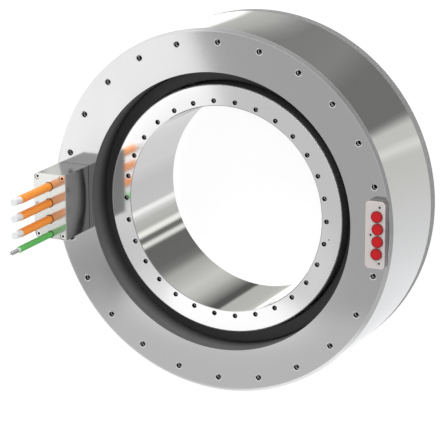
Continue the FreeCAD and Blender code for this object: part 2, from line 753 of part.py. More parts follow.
def cooling_block():
    """Block with the coolant ports, on the flange"""
    body = new_body("cooling_block")
    sketch = plane_sketch(body, "XY_Plane", FACE)
    rounded_rectangle(sketch, COOLANT_IN, COOLANT_OUT, "-coolant_length / 2", "coolant_length / 2",
                      "coolant_corner")
    solid = pad(body, sketch, "coolant_height")
    top = worth(COOLANT_TOP)
    soften(body, solid, lambda spot: abs(spot.z - top) < SAME_HEIGHT, "coolant_edge")
    pocket(body, circles(body, port_places, "port_drilling", COOLANT_TOP), "coolant_height")
    pocket(body, circles(body, port_places, "port_thread", COOLANT_TOP), "port_thread_depth")
    pocket(body, circles(body, port_places, "port_seal_diameter + 2 * port_seal_section", FACE),
           "port_seal_section - 2 * seat_gap", upward=True)
    pocket(body, circles(body, coolant_screws, "coolant_screw_shank + 2 * seat_gap", COOLANT_TOP),
           "coolant_height")
    pocket(body, circles(body, coolant_screws, "coolant_screw_head + 2 * seat_gap", COOLANT_TOP),
           "coolant_screw_depth")


def coolant_plugs():
    """Plastic plugs that close the coolant ports"""
    for number, place in enumerate(port_places, start=1):
        body = new_body(f"coolant_plug_{number}")
        pad(body, circles(body, [place], "plug_stem", f"{COOLANT_TOP} - plug_stem_length"),
            "plug_stem_length")
        cap = pad(body, circles(body, [place], "plug_cap", COOLANT_TOP), "plug_cap_height")
        rim = worth(f"{COOLANT_TOP} + plug_cap_height")
        soften(body, cap, lambda spot: abs(spot.z - rim) < SAME_HEIGHT, "plug_edge")


def port_seals():
    """O-rings under the coolant block, one round each port"""
    radius = "(port_seal_diameter + port_seal_section) / 2"
    section = "port_seal_section / 2 - seat_gap"
    body = new_body("port_seals")
    for across, up in port_places:
        sketch = plane_sketch(body, "XZ_Plane", f"-({up})")
        circle(sketch, f"{across} + {radius}", f"{FACE} + {section}", f"2 * ({section})")
        ends = [FreeCAD.Vector(worth(across), worth(height), 0) for height in ("0", FACE)]
        axis = sketch.addGeometry(Part.LineSegment(*ends), True)
        for end, height in enumerate(("0", FACE), start=1):
            hold(sketch, "DistanceX", (-1, 1), (axis, end), across)
            hold(sketch, "DistanceY", (-1, 1), (axis, end), height)
        revolve(body, sketch, "Axis0")


def rotor_ring():
    """Hollow rotor with a seat for the magnets between two collars and bolt holes in both faces"""
    bore = "rotor_bore / 2"
    seat_low = f"{CORE_FOOT} - magnet_overhang - seat_gap"
    seat_high = f"{CORE_TOP} + magnet_overhang + seat_gap"
    body = new_body("rotor_ring")
    spin(body, [
        (f"{bore} + bore_relief", "rotor_foot"),
        (f"{ROTOR_RIM} - rotor_chamfer", "rotor_foot"),
        (ROTOR_RIM, "rotor_foot + rotor_chamfer"),
        (ROTOR_RIM, seat_low),
        (MAGNET_SEAT, seat_low),
        (MAGNET_SEAT, seat_high),
        (ROTOR_RIM, seat_high),
        (ROTOR_RIM, f"{ROTOR_TOP} - rotor_chamfer"),
        (f"{ROTOR_RIM} - rotor_chamfer", ROTOR_TOP),
        (f"{bore} + rotor_chamfer", ROTOR_TOP),
        (bore, f"{ROTOR_TOP} - rotor_chamfer"),
        (bore, "rotor_foot + bore_relief_length"),
        (f"{bore} + bore_relief", "rotor_foot + bore_relief_length"),
    ])
    for face, edge, upward in ((ROTOR_TOP, "rotor_bolt_edge", False),
                               ("rotor_foot", "rotor_rear_bolt_edge", True)):
        start = [polar(f"{bore} + {edge}", "0")]
        holes = drill(body, start, face, "rotor_bolt_core", "rotor_bolt_mouth", "rotor_bolt_depth", upward)
        around(body, holes, "rotor_bolt_count")
    mark = [polar(f"{bore} + mark_edge", "-mark_angle")]
    pocket(body, circles(body, mark, "mark_diameter", ROTOR_TOP), "mark_depth")


def magnets():
    """Flat magnets set round the rotor"""
    body = new_body("magnets")
    sketch = plane_sketch(body, "XY_Plane", f"{CORE_FOOT} - magnet_overhang")
    seat = f"({MAGNET_SEAT} + seat_gap)"
    half = f"({seat} * tan(180 / magnet_count) - magnet_gap / 2)"
    rectangle(sketch, seat, f"sqrt(pow({ROTOR_RIM}; 2) - pow({half}; 2))", f"-{half}", half)
    around(body, [pad(body, sketch, "core_length + 2 * magnet_overhang")], "magnet_count")


stator_housing()
rear_ring()
rear_ring_screws()
cooling_sleeve()
sleeve_seal("rear_sleeve_seal", "rear_ring_length + seal_inset + seal_width / 2")
sleeve_seal("front_sleeve_seal", f"{FLANGE_BACK} - seal_inset - seal_width / 2")
stator_core()
tooth_coils()
winding_covers()
potting()
connection_rings()
phase_terminals()
temperature_sensor()
inside_length = f"{SEAL_TOP} - {TERMINAL_TOP}"
rods("phase_leads", power_places, "power_cable - 2 * seat_gap", TERMINAL_TOP, inside_length)
rods("sensor_lead", signal_place, "signal_cable - 2 * seat_gap", TERMINAL_TOP, inside_length)
cable_block()
cable_block_gasket()
screws("cable_block_screws", block_screws, f"({BLOCK_TOP} - block_screw_sink_depth)",
       "block_height - block_screw_sink_depth + block_screw_grip", "block_screw_shank",
       "block_screw_head", "block_screw_shank", "block_screw_hex", "block_screw_hex_depth")
rods("fill_plug", fill_place, "fill_plug", f"{BLOCK_TOP} - fill_plug_depth",
     "fill_plug_depth - fill_plug_inset")
cable_seal("power_cable_seals", power_places, "power_seal", "power_cable")
cable_seal("signal_cable_seal", signal_place, "signal_seal", "signal_cable")
cables()
cooling_block()
screws("cooling_block_screws", coolant_screws, f"({COOLANT_TOP} - coolant_screw_depth)",
       "coolant_screw_length", "coolant_screw_shank", "coolant_screw_head",
       "coolant_screw_head_height", "coolant_screw_hex", "coolant_screw_hex_depth")
coolant_plugs()
port_seals()
rotor_ring()
magnets()
turned_ring("magnet_bandage", [
    (f"{ROTOR_RIM} + seat_gap", "rotor_foot + bandage_inset"),
    (BANDAGE_OUT, "rotor_foot + bandage_inset"),
    (BANDAGE_OUT, f"{ROTOR_TOP} - bandage_inset"),
    (f"{ROTOR_RIM} + seat_gap", f"{ROTOR_TOP} - bandage_inset"),
])

doc.recompute()
for thing in doc.Objects:
    if "Invalid" in thing.State or "Error" in thing.State:
        raise ValueError(f"{thing.Label} failed: {thing.State}")
for piece in parts:
    if piece.Shape.isNull() or not piece.Shape.isValid():
        raise ValueError(f"{piece.Label} has no valid shape")
os.makedirs("parts", exist_ok=True)
for piece in parts:
    piece.Shape.exportStep(f"parts/{piece.Label}.step")
    print(piece.Label, len(piece.Shape.Solids), round(piece.Shape.Volume / 1000, 1))
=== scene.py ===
# Frameless motor: finishes, threads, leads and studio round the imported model
import math
import bpy
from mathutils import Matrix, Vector


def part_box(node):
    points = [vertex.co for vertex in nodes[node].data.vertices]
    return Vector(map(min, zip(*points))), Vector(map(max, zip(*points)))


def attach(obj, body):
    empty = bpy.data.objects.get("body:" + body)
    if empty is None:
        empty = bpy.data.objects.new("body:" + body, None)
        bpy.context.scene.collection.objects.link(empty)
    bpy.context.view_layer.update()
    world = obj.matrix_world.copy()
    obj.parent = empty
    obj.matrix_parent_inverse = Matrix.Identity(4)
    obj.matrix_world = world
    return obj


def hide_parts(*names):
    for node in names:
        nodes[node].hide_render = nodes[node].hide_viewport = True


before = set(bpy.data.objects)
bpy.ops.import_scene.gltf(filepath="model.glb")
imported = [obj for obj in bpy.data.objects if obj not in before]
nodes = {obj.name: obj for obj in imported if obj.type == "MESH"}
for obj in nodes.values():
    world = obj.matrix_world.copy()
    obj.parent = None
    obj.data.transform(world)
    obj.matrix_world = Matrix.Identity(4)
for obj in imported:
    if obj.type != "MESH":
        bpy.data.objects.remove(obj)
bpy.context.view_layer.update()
scene = bpy.context.scene
mm = 0.001

print("frame loaded:", len(nodes), "nodes")

# Camera, fitted to the bolt holes of the photograph
cameraView = {
    "place": (1.12159, 0.70370, 2.47818),
    "turn": (-15.2276, 25.4706, -0.1396),  # degrees about X, Y and Z
    "lens": 184.79,  # in mm, as the sensor's width is
    "sensor": 36,
    "nearest": 0.05,
    "farthest": 60,
}
bpy.ops.object.camera_add(
    location=cameraView["place"],
    rotation=[math.radians(angle) for angle in cameraView["turn"]],
)
camera = bpy.context.object
camera.name = "camera"
camera.data.lens = cameraView["lens"]
camera.data.sensor_width = cameraView["sensor"]
camera.data.clip_start = cameraView["nearest"]
camera.data.clip_end = cameraView["farthest"]
scene.camera = camera


# Node helpers

def addNode(tree, kind, **settings):
    node = tree.nodes.new(kind)
    for name, value in settings.items():
        setattr(node, name, value)
    return node


def feed(tree, socket, value):
    if isinstance(value, bpy.types.NodeSocket):
        tree.links.new(value, socket)
    else:
        socket.default_value = value


def calc(tree, operation, *values):
    node = addNode(tree, "ShaderNodeMath", operation=operation)
    for socket, value in zip(node.inputs, values):
        feed(tree, socket, value)
    return node.outputs[0]


def ease(tree, value, start, end, low=0.0, high=1.0):
    # smooth step from low at start to high at end
    node = addNode(tree, "ShaderNodeMapRange", interpolation_type="SMOOTHSTEP")
    for name, number in (("Value", value), ("From Min", start), ("From Max", end),
                         ("To Min", low), ("To Max", high)):
        feed(tree, node.inputs[name], number)
    return node.outputs[0]


def between(tree, value, low, high):
    return calc(tree, "MULTIPLY", calc(tree, "GREATER_THAN", value, low),
                calc(tree, "LESS_THAN", value, high))


def swing(tree, value, amount):
    # turns a value from 0 to 1 into one that goes to both sides of 0
    return calc(tree, "MULTIPLY", calc(tree, "SUBTRACT", value, 0.5), amount)


def reach(tree, aside, along):
    # distance from the point where both are 0
    squares = calc(tree, "ADD", calc(tree, "MULTIPLY", aside, aside),
                   calc(tree, "MULTIPLY", along, along))
    return calc(tree, "SQRT", squares)


def blend(tree, amount, first, second):
    node = addNode(tree, "ShaderNodeMix", data_type="FLOAT")
    feed(tree, node.inputs["Factor"], amount)
    feed(tree, node.inputs["A"], first)
    feed(tree, node.inputs["B"], second)
    return node.outputs[0]


def blendColor(tree, amount, first, second):
    node = addNode(tree, "ShaderNodeMix", data_type="RGBA")
    feed(tree, node.inputs["Factor"], amount)
    feed(tree, node.inputs[6], first)
    feed(tree, node.inputs[7], second)
    return node.outputs[2]


def grey(level):
    return (level, level, level, 1.0)


noiseDetail = 3.0


def noise(tree, vector, scale, rough=0.6):
    node = addNode(tree, "ShaderNodeTexNoise")
    feed(tree, node.inputs["Vector"], vector)
    feed(tree, node.inputs["Scale"], scale)
    feed(tree, node.inputs["Detail"], noiseDetail)
    feed(tree, node.inputs["Roughness"], rough)
    return node.outputs["Fac"]


def brighten(tree, color, amount):
    # an amount above 0 makes the colour lighter, one below it darker
    node = addNode(tree, "ShaderNodeHueSaturation")
    feed(tree, node.inputs["Color"], color)
    feed(tree, node.inputs["Value"], calc(tree, "ADD", 1.0, amount))
    return node.outputs[0]


def bump(tree, depth, strength, height):
    node = addNode(tree, "ShaderNodeBump")
    feed(tree, node.inputs["Distance"], depth)
    feed(tree, node.inputs["Strength"], strength)
    feed(tree, node.inputs["Height"], height)
    return node.outputs[0]


def objectPlace(tree):
    return addNode(tree, "ShaderNodeTexCoord").outputs["Object"]


def axes(tree, vector):
    node = addNode(tree, "ShaderNodeSeparateXYZ")
    feed(tree, node.inputs[0], vector)
    return node.outputs


def axisDistance(tree, vector):
    # length of a vector as it is seen along Z
    flat = addNode(tree, "ShaderNodeVectorMath", operation="MULTIPLY")
    feed(tree, flat.inputs[0], vector)
    feed(tree, flat.inputs[1], (1.0, 1.0, 0.0))
    length = addNode(tree, "ShaderNodeVectorMath", operation="LENGTH")
    feed(tree, length.inputs[0], flat.outputs[0])
    return length.outputs["Value"]


# Shared effects, each a node group with named sockets

finishOutputs = [
    ("Color", "NodeSocketColor"),
    ("Roughness", "NodeSocketFloat"),
    ("Normal", "NodeSocketVector"),
]


def newGroup(name, inputs, outputs):
    tree = bpy.data.node_groups.new(name, "ShaderNodeTree")
    for label, kind, value in inputs:
        socket = tree.interface.new_socket(label, in_out="INPUT", socket_type=kind)
        socket.default_value = value
    for label, kind in outputs:
        tree.interface.new_socket(label, in_out="OUTPUT", socket_type=kind)
    start = tree.nodes.new("NodeGroupInput")
    end = tree.nodes.new("NodeGroupOutput")
    return tree, start.outputs, end.inputs


def putOut(tree, out, **results):
    for name, socket in results.items():
        feed(tree, out[name], socket)


turnedLook = {
    "pitch": 0.4 * mm,
    "along": 1.5,  # how fast a mark changes on its way round
    "lineShade": 0.10,
    "smearShade": 0.05,
    "smearScale": 9.0,
    "smearRough": 0.55,
    "roughLeast": 0.85,  # share of the roughness where there is no smear
    "roughSpread": 0.3,
    "depth": 0.01 * mm,
}


def makeTurnedFinish():
    # concentric tool marks on faces and round marks on walls, with faint smears
    tree, given, out = newGroup(
        "turnedFinish",
        [("Color", "NodeSocketColor", grey(0.8)),
         ("Roughness", "NodeSocketFloat", 0.15),
         ("Marks", "NodeSocketFloat", 0.1)],
        finishOutputs,
    )
    place = objectPlace(tree)
    x, y, z = axes(tree, place)
    spot = addNode(tree, "ShaderNodeCombineXYZ")
    across = calc(tree, "ADD", axisDistance(tree, place), z)
    feed(tree, spot.inputs[0], calc(tree, "DIVIDE", across, turnedLook["pitch"]))
    angle = calc(tree, "ARCTAN2", y, x)
    feed(tree, spot.inputs[1], calc(tree, "MULTIPLY", angle, turnedLook["along"]))
    lines = noise(tree, spot.outputs[0], 1.0)
    smears = noise(tree, place, turnedLook["smearScale"], turnedLook["smearRough"])
    shade = calc(tree, "ADD", swing(tree, lines, turnedLook["lineShade"]),
                 swing(tree, smears, turnedLook["smearShade"]))
    share = calc(tree, "MULTIPLY_ADD", smears, turnedLook["roughSpread"], turnedLook["roughLeast"])
    putOut(
        tree, out,
        Color=brighten(tree, given["Color"], calc(tree, "MULTIPLY", shade, given["Marks"])),
        Roughness=calc(tree, "MULTIPLY", given["Roughness"], share),
        Normal=bump(tree, turnedLook["depth"], given["Marks"], lines),
    )
    return tree


grainLook = {
    "broadScale": 35.0,
    "roughSpread": 0.2,
    "depth": 0.05 * mm,
}


def makeGrain():
    # fine pitting with uneven tone, for moulded, cast and extruded pieces
    tree, given, out = newGroup(
        "grain",
        [("Color", "NodeSocketColor", grey(0.5)),
         ("Roughness", "NodeSocketFloat", 0.5),
         ("Scale", "NodeSocketFloat", 900.0),
         ("Depth", "NodeSocketFloat", 0.3),
         ("Unevenness", "NodeSocketFloat", 0.15)],
        finishOutputs,
    )
    place = objectPlace(tree)
    fine = noise(tree, place, given["Scale"])
    broad = noise(tree, place, grainLook["broadScale"])
    putOut(
        tree, out,
        Color=brighten(tree, given["Color"], swing(tree, broad, given["Unevenness"])),
        Roughness=calc(tree, "ADD", given["Roughness"],
                       swing(tree, broad, grainLook["roughSpread"])),
        Normal=bump(tree, grainLook["depth"], given["Depth"], fine),
    )
    return tree


stripeLook = {
    "spreadScale": 60.0,
    "depth": 0.1 * mm,
}


def makeStripes():
    # even lines across the motor's axis: sheet edges in a stack, or the turns of a wound band
    tree, given, out = newGroup(
        "stripes",
        [("Light", "NodeSocketColor", grey(0.5)),
         ("Dark", "NodeSocketColor", grey(0.2)),
         ("Pitch", "NodeSocketFloat", 1.0 * mm),
         ("Depth", "NodeSocketFloat", 0.3)],
        [("Color", "NodeSocketColor"), ("Normal", "NodeSocketVector")],
    )
    place = objectPlace(tree)
    x, y, z = axes(tree, place)
    turn = calc(tree, "MULTIPLY", calc(tree, "DIVIDE", z, given["Pitch"]), math.tau)
    wave = calc(tree, "MULTIPLY_ADD", calc(tree, "SINE", turn), 0.5, 0.5)
    share = calc(tree, "MULTIPLY", wave, noise(tree, place, stripeLook["spreadScale"]))
    putOut(
        tree, out,
        Color=blendColor(tree, share, given["Dark"], given["Light"]),
        Normal=bump(tree, stripeLook["depth"], given["Depth"], wave),
    )
    return tree


def makeDepthBand():
    # white between two depths below or above a flat face, black elsewhere
    tree, given, out = newGroup(
        "depthBand",
        [("Face", "NodeSocketFloat", 0.0),
         ("Start", "NodeSocketFloat", 0.0),
         ("End", "NodeSocketFloat", 1.0 * mm),
         ("Soft", "NodeSocketFloat", 0.1 * mm)],
        [("Mask", "NodeSocketFloat")],
    )
    x, y, z = axes(tree, objectPlace(tree))
    depth = calc(tree, "ABSOLUTE", calc(tree, "SUBTRACT", z, given["Face"]))
    past = ease(tree, calc(tree, "SUBTRACT", depth, given["Start"]), 0.0, given["Soft"])
    before = ease(tree, calc(tree, "SUBTRACT", depth, given["End"]), given["Soft"], 0.0)
    putOut(tree, out, Mask=calc(tree, "MULTIPLY", past, before))
    return tree


def makeRimMask():
    # white past a distance from an upright axis, black within it
    tree, given, out = newGroup(
        "rimMask",
        [("Centre", "NodeSocketVector", (0.0, 0.0, 0.0)),
         ("Start", "NodeSocketFloat", 4.0 * mm),
         ("End", "NodeSocketFloat", 6.0 * mm)],
        [("Mask", "NodeSocketFloat")],
    )
    away = addNode(tree, "ShaderNodeVectorMath", operation="SUBTRACT")
    feed(tree, away.inputs[0], objectPlace(tree))
    feed(tree, away.inputs[1], given["Centre"])
    distance = axisDistance(tree, away.outputs[0])
    putOut(tree, out, Mask=ease(tree, distance, given["Start"], given["End"]))
    return tree


turnedFinish = makeTurnedFinish()
grain = makeGrain()
stripes = makeStripes()
depthBand = makeDepthBand()
rimMask = makeRimMask()
print("node groups made")


# Materials

coatRoughness = 0.12


def newMaterial(name):
    material = bpy.data.materials.new(name)
    material.use_nodes = True
    tree = material.node_tree
    return material, tree, tree.nodes["Principled BSDF"]


def addGroup(tree, group, **values):
    node = addNode(tree, "ShaderNodeGroup", node_tree=group)
    for name, value in values.items():
        feed(tree, node.inputs[name], value)
    return node.outputs


def dress(tree, group, shader, **values):
    # adds a group and links what it puts out to the shader
    results = addGroup(tree, group, **values)
    for source, target in (("Color", "Base Color"), ("Roughness", "Roughness"),
                           ("Normal", "Normal")):
        if source in results:
            feed(tree, shader.inputs[target], results[source])
    return results


def bandMask(tree, face, start, end, soft=0.1 * mm):
    return addGroup(tree, depthBand, Face=face, Start=start, End=end, Soft=soft)["Mask"]


def turnedMetal(name, color, roughness, marks, metallic=1.0):
    material, tree, shader = newMaterial(name)
    shader.inputs["Metallic"].default_value = metallic
    dress(tree, turnedFinish, shader, Color=color, Roughness=roughness, Marks=marks)
    return material


def grained(name, color, roughness, scale=900.0, depth=0.3, uneven=0.15, metallic=0.0, coat=0.0):
    material, tree, shader = newMaterial(name)
    shader.inputs["Metallic"].default_value = metallic
    shader.inputs["Coat Weight"].default_value = coat
    shader.inputs["Coat Roughness"].default_value = coatRoughness
    dress(tree, grain, shader, Color=color, Roughness=roughness, Scale=scale, Depth=depth,
          Unevenness=uneven)
    return material


def striped(name, light, dark, pitch, depth, roughness, metallic):
    material, tree, shader = newMaterial(name)
    shader.inputs["Metallic"].default_value = metallic
    shader.inputs["Roughness"].default_value = roughness
    dress(tree, stripes, shader, Light=light, Dark=dark, Pitch=pitch, Depth=depth)
    return material


# Turned pieces whose opening has another finish than their face

housing = {
    "color": grey(0.62),
    "metallic": 1.0,
    "roughness": 0.048,
    "marks": 0.20,
    "wornAndGlint": (-120 * mm, -165 * mm, 0.09),  # duller towards the cables, where it is handled
    "innerRadius": 168.5 * mm,
    "innerColor": grey(0.125),  # the opening's own wall is dark and dull
    "innerMetallic": 0.0,
    "innerRoughness": 0.40,
    "holes": (199 * mm, 209 * mm),  # nothing but the tapped holes lies between these below the face
    "holeStart": 0.55 * mm,  # above this depth is the countersink
    "sinkStart": 0.05 * mm,
    "sinkRoughness": 0.35,
    "edges": [(216.5 * mm, 140.0 * mm, 0.14), (220 * mm, 136.5 * mm, 0.14)],  # radius, height, strength of the painted edge highlight
}
rotorRing = {
    "color": grey(0.95),
    "metallic": 1.0,
    "roughness": 0.05,
    "marks": 0.12,
    "wornAndGlint": (-60 * mm, -95 * mm, 0.10),
    "innerRadius": 125.8 * mm,
    "innerColor": grey(0.60),  # the bore is ground, the faces are polished
    "innerMetallic": 1.0,
    "innerRoughness": 0.05,
    "holes": (127.5 * mm, 135.5 * mm),
    "holeStart": 0.04 * mm,
    "edges": [(149.7 * mm, 121.7 * mm, 0.75)],
    "collarDepth": 1.2 * mm,  # below this the outside is blackened
    "collarColor": grey(0.10),
    "collarRoughness": 0.6,
    "collarMetallic": 0.0,
}
# painted highlight: a pale, dull band along the turned edges
edgeGlint = {
    "width": 0.8 * mm,
    "color": grey(0.95),
    "roughness": 0.30,
    "metallic": 0.0,
}
holeWallShade = {
    "end": 16 * mm,
    "color": grey(0.015),  # painted shade: the tapped holes' walls are coloured near black
    "roughness": 0.5,
}


def turnedRing(name, ring, carrier):
    material, tree, shader = newMaterial(name)
    low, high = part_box(carrier)
    place = objectPlace(tree)
    x, y, z = axes(tree, place)
    radius = axisDistance(tree, place)
    start, end, dull = ring["wornAndGlint"]
    given = dress(tree, turnedFinish, shader, Color=ring["color"], Marks=ring["marks"],
                  Roughness=ease(tree, x, start, end, ring["roughness"], dull))
    inside = calc(tree, "LESS_THAN", radius, ring["innerRadius"])
    color = blendColor(tree, inside, given["Color"], ring["innerColor"])
    finish = blend(tree, inside, given["Roughness"], ring["innerRoughness"])
    shine = blend(tree, inside, ring["metallic"], ring["innerMetallic"])

    # painted shade inside the tapped holes, below the countersink
    beside = between(tree, radius, *ring["holes"])
    deep = calc(tree, "MAXIMUM", bandMask(tree, high.z, ring["holeStart"], holeWallShade["end"]),
                bandMask(tree, low.z, ring["holeStart"], holeWallShade["end"]))
    holeShade = calc(tree, "MULTIPLY", beside, deep)
    color = blendColor(tree, holeShade, color, holeWallShade["color"])
    if "sinkRoughness" in ring:
        sunk = bandMask(tree, high.z, ring["sinkStart"], ring["holeStart"])
        sink = calc(tree, "MULTIPLY", beside, sunk)
        finish = blend(tree, sink, finish, ring["sinkRoughness"])
    finish = blend(tree, holeShade, finish, holeWallShade["roughness"])

    # painted highlight along each listed edge
    for edgeRadius, edgeHeight, glintStrength in ring["edges"]:
        away = reach(tree, calc(tree, "SUBTRACT", radius, edgeRadius),
                     calc(tree, "SUBTRACT", z, edgeHeight))
        wornAndGlint = ease(tree, away, edgeGlint["width"], 0.0, 0.0, glintStrength)
        color = blendColor(tree, wornAndGlint, color, edgeGlint["color"])
        finish = blend(tree, wornAndGlint, finish, edgeGlint["roughness"])
        shine = blend(tree, wornAndGlint, shine, edgeGlint["metallic"])

    if "collarDepth" in ring:
        depth = ring["collarDepth"]
        outside = calc(tree, "GREATER_THAN", radius, high.x - depth)
        collar = calc(tree, "MULTIPLY", outside, between(tree, z, low.z + depth, high.z - depth))
        color = blendColor(tree, collar, color, ring["collarColor"])
        finish = blend(tree, collar, finish, ring["collarRoughness"])
        shine = blend(tree, collar, shine, ring["collarMetallic"])
    feed(tree, shader.inputs["Base Color"], color)
    feed(tree, shader.inputs["Roughness"], finish)
    feed(tree, shader.inputs["Metallic"], shine)
    return material


potting = {
    "top": 130 * mm,
    "bottom": 108 * mm,
    "color": (0.135, 0.135, 0.138, 1.0),
    "lowColor": (0.055, 0.055, 0.057, 1.0),  # painted shade: the resin is coloured darker deeper in the recess
    "roughness": 0.40,
    "scale": 420.0,
    "depth": 0.2,
    "uneven": 0.25,
}


def pottingResin():
    material, tree, shader = newMaterial("pottingResin")
    x, y, z = axes(tree, objectPlace(tree))
    # painted shade, darker towards the bottom of the recess
    height = ease(tree, z, potting["bottom"], potting["top"])
    dress(tree, grain, shader, Color=blendColor(tree, height, potting["lowColor"], potting["color"]),
          Roughness=potting["roughness"], Scale=potting["scale"], Depth=potting["depth"],
          Unevenness=potting["uneven"])
    return material


# Pieces whose end face has another finish than their sides and sockets, which are painted darker as
# shade

# the colour of each piece's sides and sockets is painted shade, darker than its end face
cableBlock = {
    "color": grey(0.30),
    "roughness": 0.20,
    "metallic": 1.0,
    "endColor": (0.66, 0.67, 0.64, 1.0),
    "endMetallic": 0.88,
    "endRoughness": 0.12,
    "lip": 0.6 * mm,
}
coolantBlock = {
    "color": (0.15, 0.14, 0.14, 1.0),
    "roughness": 0.40,
    "metallic": 0.35,
    "endColor": (0.54, 0.50, 0.49, 1.0),
    "endRoughness": 0.34,
    "lip": 1.0 * mm,
}
screwHead = {
    "color": grey(0.03),
    "roughness": 0.45,
    "metallic": 1.0,
    "endColor": grey(0.80),
    "endRoughness": 0.22,
    "lip": 0.7 * mm,
}
milled = {
    "scale": 700.0,
    "depth": 0.02,
    "uneven": 0.08,
}


def sideShadedMetal(name, piece, face):
    # milled sides and sockets, and a ground end face at the height face; the sides and sockets are
    # painted dark as shade, while the end face's smoother grind is real
    material, tree, shader = newMaterial(name)
    given = dress(tree, grain, shader, Color=piece["color"], Roughness=piece["roughness"],
                  Scale=milled["scale"], Depth=milled["depth"], Unevenness=milled["uneven"])
    # painted shade: sides and sockets take the dark colour, the end face the light one
    end = bandMask(tree, face, -piece["lip"], piece["lip"])
    feed(tree, shader.inputs["Base Color"],
         blendColor(tree, end, given["Color"], piece["endColor"]))
    feed(tree, shader.inputs["Roughness"],
         blend(tree, end, given["Roughness"], piece["endRoughness"]))
    metallic = piece["metallic"]
    if "endMetallic" in piece:
        metallic = blend(tree, end, metallic, piece["endMetallic"])
    feed(tree, shader.inputs["Metallic"], metallic)
    return material


plugs = {
    "count": 4,
    "color": (0.42, 0.006, 0.010, 1.0),
    "rimShadeColor": (0.20, 0.012, 0.014, 1.0),
    "rimStart": 3.8 * mm,
    "rimEnd": 6.8 * mm,
    "roughness": 0.38,
    "specular": 0.25,
    "scale": 900.0,
    "depth": 0.12,
    "uneven": 0.1,
}


def plugPlastic(name):
    # moulded cap, with painted shade darkening it towards its rim
    material, tree, shader = newMaterial(name)
    low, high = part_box(name)
    rim = addGroup(tree, rimMask, Centre=(low + high) / 2, Start=plugs["rimStart"],
                   End=plugs["rimEnd"])["Mask"]
    dress(tree, grain, shader, Color=blendColor(tree, rim, plugs["color"], plugs["rimShadeColor"]),
          Roughness=plugs["roughness"], Scale=plugs["scale"], Depth=plugs["depth"],
          Unevenness=plugs["uneven"])
    shader.inputs["Specular IOR Level"].default_value = plugs["specular"]
    return material


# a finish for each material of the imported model
finishes = {
    "machined_aluminium": turnedRing("housingAluminium", housing, "stator_housing"),
    "ring_aluminium": turnedMetal("rearRingAluminium", grey(0.27), 0.60, marks=0.5, metallic=0.2),
    "sleeve_aluminium": turnedMetal("sleeveAluminium", grey(0.70), 0.30, marks=0.5),
    "rotor_steel": turnedRing("rotorSteel", rotorRing, "rotor_ring"),
    "lamination_steel": striped("laminationSteel", grey(0.42), grey(0.10), pitch=1.0 * mm, depth=0.6,
                                roughness=0.42, metallic=1.0),
    "copper": grained("copperBar", (0.86, 0.42, 0.26, 1.0), 0.24, scale=500.0, depth=0.15,
                      uneven=0.2, metallic=1.0),
    "winding_copper": grained("windingEnamel", (0.62, 0.22, 0.09, 1.0), 0.30, scale=700.0, depth=0.4,
                              uneven=0.3, metallic=0.6),
    "potting_resin": pottingResin(),
    "cover_plastic": grained("coverPlastic", (0.028, 0.028, 0.029, 1.0), 0.42, depth=0.2, uneven=0.2),
    "magnet_nickel": turnedMetal("magnetNickel", (0.70, 0.68, 0.64, 1.0), 0.22, marks=0.3),
    "bandage_fibre": striped("bandageFibre", grey(0.12), grey(0.07), pitch=1.2 * mm, depth=0.35,
                             roughness=0.50, metallic=0.0),
    "seal_rubber": grained("sealRubber", (0.045, 0.016, 0.012, 1.0), 0.55, scale=1100.0, uneven=0.2),
    "screw_steel": grained("screwSteel", grey(0.55), 0.26, scale=800.0, depth=0.05, uneven=0.1,
                           metallic=1.0),
    "coolant_block_aluminium": sideShadedMetal("coolantBlock", coolantBlock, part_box("cooling_block")[1].z),
    "orange_jacket": grained("orangeJacket", (0.88, 0.27, 0.012, 1.0), 0.40, scale=1300.0, depth=0.2,
                             uneven=0.08, coat=0.15),
    "green_jacket": grained("greenJacket", (0.08, 0.47, 0.085, 1.0), 0.38, scale=1300.0, depth=0.25,
                            uneven=0.1, coat=0.15),
    "white_insulation": grained("whiteInsulation", (0.66, 0.67, 0.68, 1.0), 0.40, scale=1100.0,
                                depth=0.2, uneven=0.06),
    "core_insulation": grained("coreInsulation", grey(0.42), 0.40, scale=1100.0, depth=0.2,
                               uneven=0.1),
}
# pieces with a finish of their own
own = {
    "cable_block": sideShadedMetal("blockAluminium", cableBlock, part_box("cable_block")[1].z),
    "cable_block_gasket": grained("gasketRubber", grey(0.11), 0.50, scale=1100.0, depth=0.1,
                                  uneven=0.1),
    "cable_block_screws": sideShadedMetal("blockScrewSteel", screwHead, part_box("cable_block_screws")[1].z),
    "cooling_block_screws": sideShadedMetal("coolantScrewSteel", screwHead,
                                       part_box("cooling_block_screws")[1].z),
    "rear_ring_screws": sideShadedMetal("ringScrewSteel", screwHead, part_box("rear_ring_screws")[0].z),
}
for number in range(1, plugs["count"] + 1):
    name = "coolant_plug_%d" % number
    own[name] = plugPlastic(name)

for name, node in nodes.items():
    for slot in node.material_slots:
        slot.material = own[name] if name in own else finishes[slot.material.name.split(".")[0]]
print("finishes set")


# Leads: the route's points are the ones in the part's source

leads = {
    "top": 197.4 * mm,  # where a lead leaves the block
    "powerRow": -195.4 * mm,
    "powerPlaces": {"u": 24 * mm, "v": 4 * mm, "w": -16 * mm},
    "powerLength": 67 * mm,
    "powerDiameter": 10 * mm,
    "signalPlace": (-194.3 * mm, -34.4 * mm),
    "signalLength": 73 * mm,
    "signalDiameter": 7.6 * mm,
    "spans": 3,
    "order": 3,
    "lengthSteps": 6,
    "roundSteps": 10,
}


